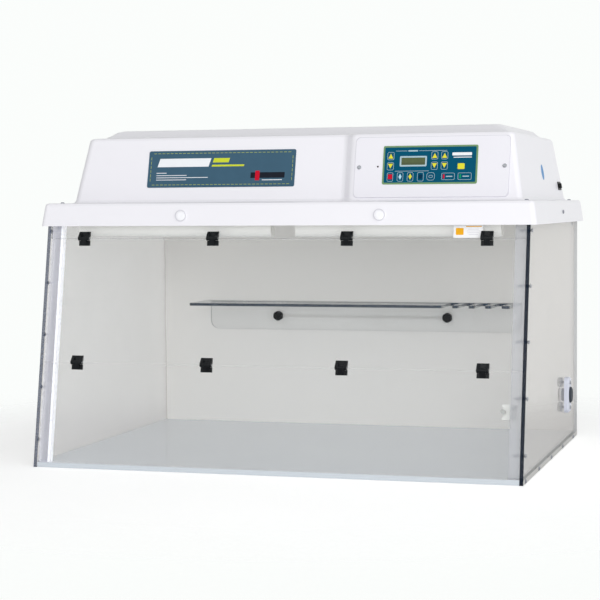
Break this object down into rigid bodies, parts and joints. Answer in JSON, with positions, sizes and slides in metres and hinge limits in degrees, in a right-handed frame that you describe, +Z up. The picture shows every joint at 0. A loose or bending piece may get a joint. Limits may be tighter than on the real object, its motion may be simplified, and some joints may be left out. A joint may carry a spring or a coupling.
{
  "type": "dead air box",
  "caption": "Clear bench-top still-air work box with a leaning bi-fold front, moulded lamp hood with keypad and rocker switch, and a rear shelf with pipette slots.",
  "frame": {"origin": "middle of the underside of the base, where the box stands on the bench", "axes": "+X to the right seen from the doors, +Y to the back panel, +Z up"},
  "size_m": [0.8357, 0.622, 0.5585],
  "materials": {
    "clear_acrylic": "polished clear sheet",
    "white_sheet": "polished white sheet",
    "floor_sheet": "mirror-polished pale sheet",
    "hood_white": "smooth moulded white",
    "hinge_black": "moulded black",
    "steel": "plain bright steel",
    "bracket_metal": "bright plated",
    "white_metal": "satin white",
    "lamp_white": "phosphor white",
    "lamp_clear": "clear quartz",
    "holder_white": "moulded white",
    "plate_grey": "satin pale grey",
    "keypad_teal": "printed film",
    "display_olive": "display window",
    "board_green": "circuit board",
    "brass": "turned",
    "light_red": "tinted lens",
    "plate_blue": "printed plate",
    "plug_white": "moulded white",
    "black_plastic": "moulded black",
    "magnet_nickel": "nickel plated",
    "rubber_dark": "soft dark rubber",
    "nut_grey": "moulded grey"
  },
  "bodies": {
    "cabinet": {"base_panel": "floor_sheet", "left_side_panel": "clear_acrylic", "right_side_panel": "clear_acrylic", "back_panel": "white_sheet", "left_corner_post": "clear_acrylic", "right_corner_post": "clear_acrylic", "transom_panel": "clear_acrylic", "upper_hinge_fixed_leaves": "hinge_black", "upper_hinge_pins": "steel", "left_post_screws": "steel", "left_base_screws": "steel", "right_post_screws": "steel", "right_base_screws": "steel", "hood_shell": "hood_white", "hood_brackets": "bracket_metal", "bracket_screws": "steel", "ledge_screws": "steel", "skirt_side_screws": "steel", "skirt_plugs": "plug_white", "ceiling_tray": "white_metal", "control_plate": "plate_grey", "control_plate_screws": "steel", "keypad": "keypad_teal", "display_module": "display_olive", "control_board": "board_green", "board_spacers": "brass", "status_light": "light_red", "name_plate": "plate_blue", "uv_lamp_reflector": "white_metal", "uv_lamp_tube": "lamp_clear", "uv_lamp_holders": "holder_white", "uv_lamp_ballast": "white_metal", "white_lamp_reflector": "white_metal", "white_lamp_tube": "lamp_white", "white_lamp_holders": "holder_white", "white_lamp_ballast": "white_metal", "power_switch_bezel": "black_plastic", "power_inlet": "black_plastic", "power_inlet_screws": "steel", "shelf": "clear_acrylic", "door_switch": "holder_white", "door_switch_screws": "steel", "port_flange": "plug_white", "port_plug": "rubber_dark", "port_screws": "steel", "port_nuts": "nut_grey"},
    "upper_door": {"upper_door_panel": "clear_acrylic", "upper_hinge_door_leaves": "hinge_black", "middle_hinge_upper_leaves": "hinge_black", "middle_hinge_pins": "steel"},
    "lower_door": {"lower_door_panel": "clear_acrylic", "middle_hinge_lower_leaves": "hinge_black", "door_magnet": "magnet_nickel"},
    "rocker": {"power_rocker": "black_plastic"},
    "left_knob": {"shelf_knob_left": "black_plastic"},
    "right_knob": {"shelf_knob_right": "black_plastic"}
  },
  "joints": [
    {"name": "upper_door_hinge", "type": "hinge", "parent": "cabinet", "child": "upper_door", "pos_m": [0, -0.2395, 0.3755], "axis": [-1, 0, 0], "range_deg": [0, 130]},
    {"name": "lower_door_hinge", "type": "hinge", "parent": "upper_door", "child": "lower_door", "pos_m": [0, -0.27669, 0.17187], "axis": [-1, 0, 0], "range_deg": [0, 175]},
    {"name": "power_rocker_pivot", "type": "hinge", "parent": "cabinet", "child": "rocker", "pos_m": [0.37983, 0.242, 0.45934], "axis": [0.1615, 0, -0.9869], "range_deg": [0, 12]},
    {"name": "left_knob_turn", "type": "hinge", "parent": "cabinet", "child": "left_knob", "pos_m": [-0.166, 0.299, 0.2155], "axis": [0, -1, 0], "continuous": true},
    {"name": "right_knob_turn", "type": "hinge", "parent": "cabinet", "child": "right_knob", "pos_m": [0.166, 0.299, 0.2155], "axis": [0, -1, 0], "continuous": true}
  ]
}
